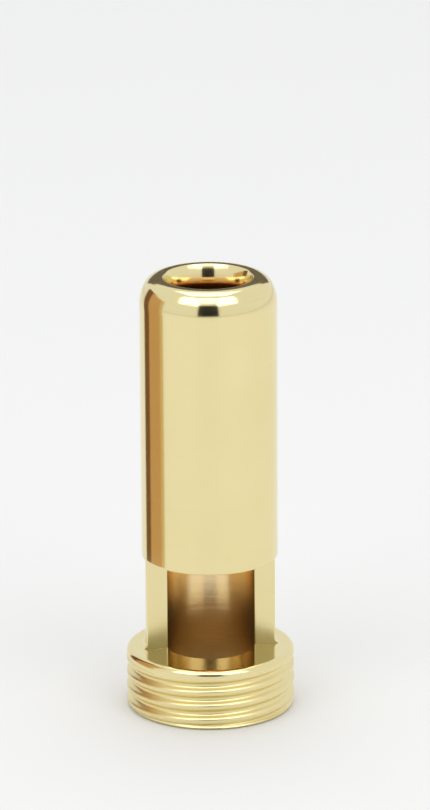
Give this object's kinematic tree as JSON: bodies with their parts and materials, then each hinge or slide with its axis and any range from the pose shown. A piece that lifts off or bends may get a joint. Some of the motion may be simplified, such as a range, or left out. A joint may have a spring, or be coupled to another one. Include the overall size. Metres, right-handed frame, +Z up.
{
  "type": "battery lead bullet socket contact",
  "caption": "Gold-plated turned socket contact for a battery lead, with a tapered nose, a cut-open solder cup and a threaded collar.",
  "frame": {"origin": "middle of the threaded collar's bottom face, on the bore axis", "axes": "+Z up the bore axis towards the nose and its mouth; the solder cup's window looks along -Y"},
  "size_m": [0.0086, 0.0086, 0.0229],
  "materials": {
    "gold_plate": "polished gold plating over turned brass"
  },
  "bodies": {
    "root": {"contact": "gold_plate"}
  },
  "joints": []
}
